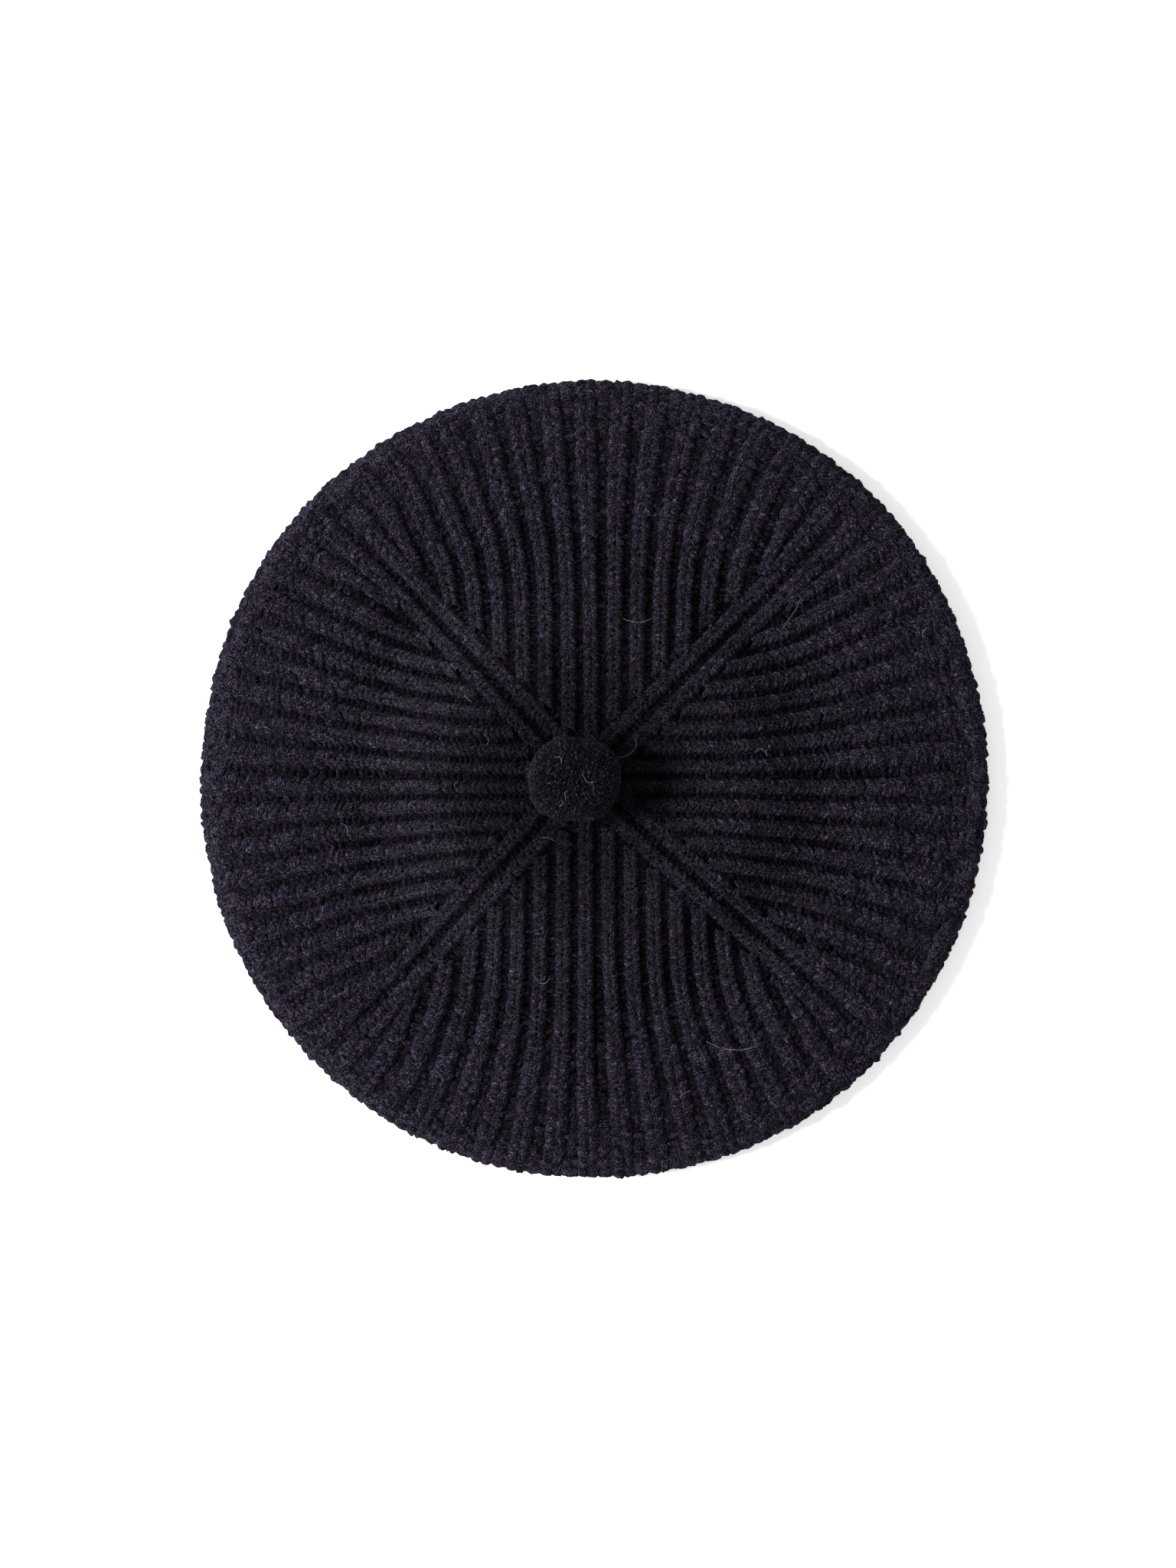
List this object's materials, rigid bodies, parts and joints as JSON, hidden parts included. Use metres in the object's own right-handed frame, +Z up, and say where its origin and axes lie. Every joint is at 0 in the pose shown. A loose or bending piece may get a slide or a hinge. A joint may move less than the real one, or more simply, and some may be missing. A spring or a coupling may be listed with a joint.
{
  "type": "beret",
  "caption": "Flat round knitted wool beret with a pom-pom, ribs running from the crown to the rim, lying crown up.",
  "frame": {"origin": "under the middle of the round outline, on the surface the beret lies on", "axes": "+Z up through the crown, +Y towards the front, -Y towards the back where the headband's ends meet, +X to the wearer's right"},
  "size_m": [0.2806, 0.2806, 0.0511],
  "materials": {
    "wool_rib": "matte",
    "band_rib": "matte",
    "seam_yarn": "matte",
    "pompom_wool": "matte",
    "tie_yarn": "matte",
    "label_satin": "satin",
    "label_thread": "satin"
  },
  "bodies": {
    "shell": {"gore_right": "wool_rib", "gore_front": "wool_rib", "gore_left": "wool_rib", "gore_rear": "wool_rib", "headband": "band_rib", "gore_seam_front_right": "seam_yarn", "gore_seam_front_left": "seam_yarn", "gore_seam_rear_left": "seam_yarn", "gore_seam_rear_right": "seam_yarn", "headband_chain": "seam_yarn", "headband_back_seam": "seam_yarn", "crown_gather_yarn": "seam_yarn", "pompom_tie_shank": "tie_yarn", "pompom_tie_knot": "tie_yarn", "pompom_tie_tail_front": "tie_yarn", "pompom_tie_tail_rear": "tie_yarn", "size_label": "label_satin", "label_stitch_left": "label_thread", "label_stitch_right": "label_thread"},
    "pompom_tie": {"pompom_tie_leg_left": "tie_yarn", "pompom_tie_leg_right": "tie_yarn"},
    "pompom": {"pompom_pile": "pompom_wool", "pompom_binding": "tie_yarn"}
  },
  "joints": [
    {"name": "pompom_tilt_side", "type": "hinge", "parent": "shell", "child": "pompom_tie", "pos_m": [-0.0035, 0, 0.016], "axis": [1, 0, 0], "range_deg": [-15, 15], "stiffness_Nm_per_rad": 0.004},
    {"name": "pompom_tilt_fore", "type": "hinge", "parent": "pompom_tie", "child": "pompom", "pos_m": [-0.0035, 0, 0.016], "axis": [0, 1, 0], "range_deg": [-8, 25], "stiffness_Nm_per_rad": 0.004}
  ]
}
